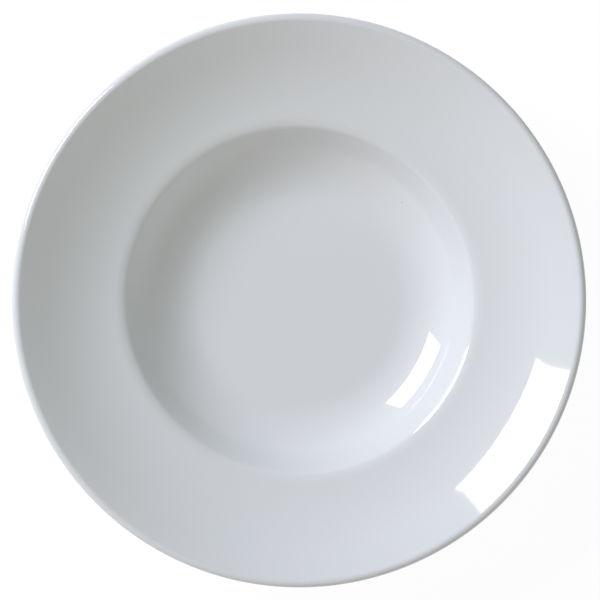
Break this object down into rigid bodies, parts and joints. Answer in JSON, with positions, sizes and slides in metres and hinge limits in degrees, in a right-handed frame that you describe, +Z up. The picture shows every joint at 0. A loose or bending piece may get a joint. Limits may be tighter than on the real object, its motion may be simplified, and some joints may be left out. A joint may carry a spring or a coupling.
{
  "type": "wide-rimmed deep bowl",
  "caption": "Round deep bowl in glazed white porcelain, with a rounded well, a wide rising rim, a rounded lip and a bare-footed foot ring. Holds soup, pasta or salad.",
  "frame": {"origin": "on the bowl's axis, in the plane that the foot ring stands on", "axes": "+Z up along the bowl's axis, out of its mouth; X and Y are any two directions square to it, because the bowl is round"},
  "size_m": [0.2698, 0.2698, 0.0482],
  "materials": {
    "porcelain": "bare fired porcelain, dry and very finely grained",
    "glaze": "glossy cool-white glaze"
  },
  "bodies": {
    "root": {"porcelain_body": "porcelain", "glaze_coat": "glaze", "base_glaze": "glaze"}
  },
  "joints": []
}
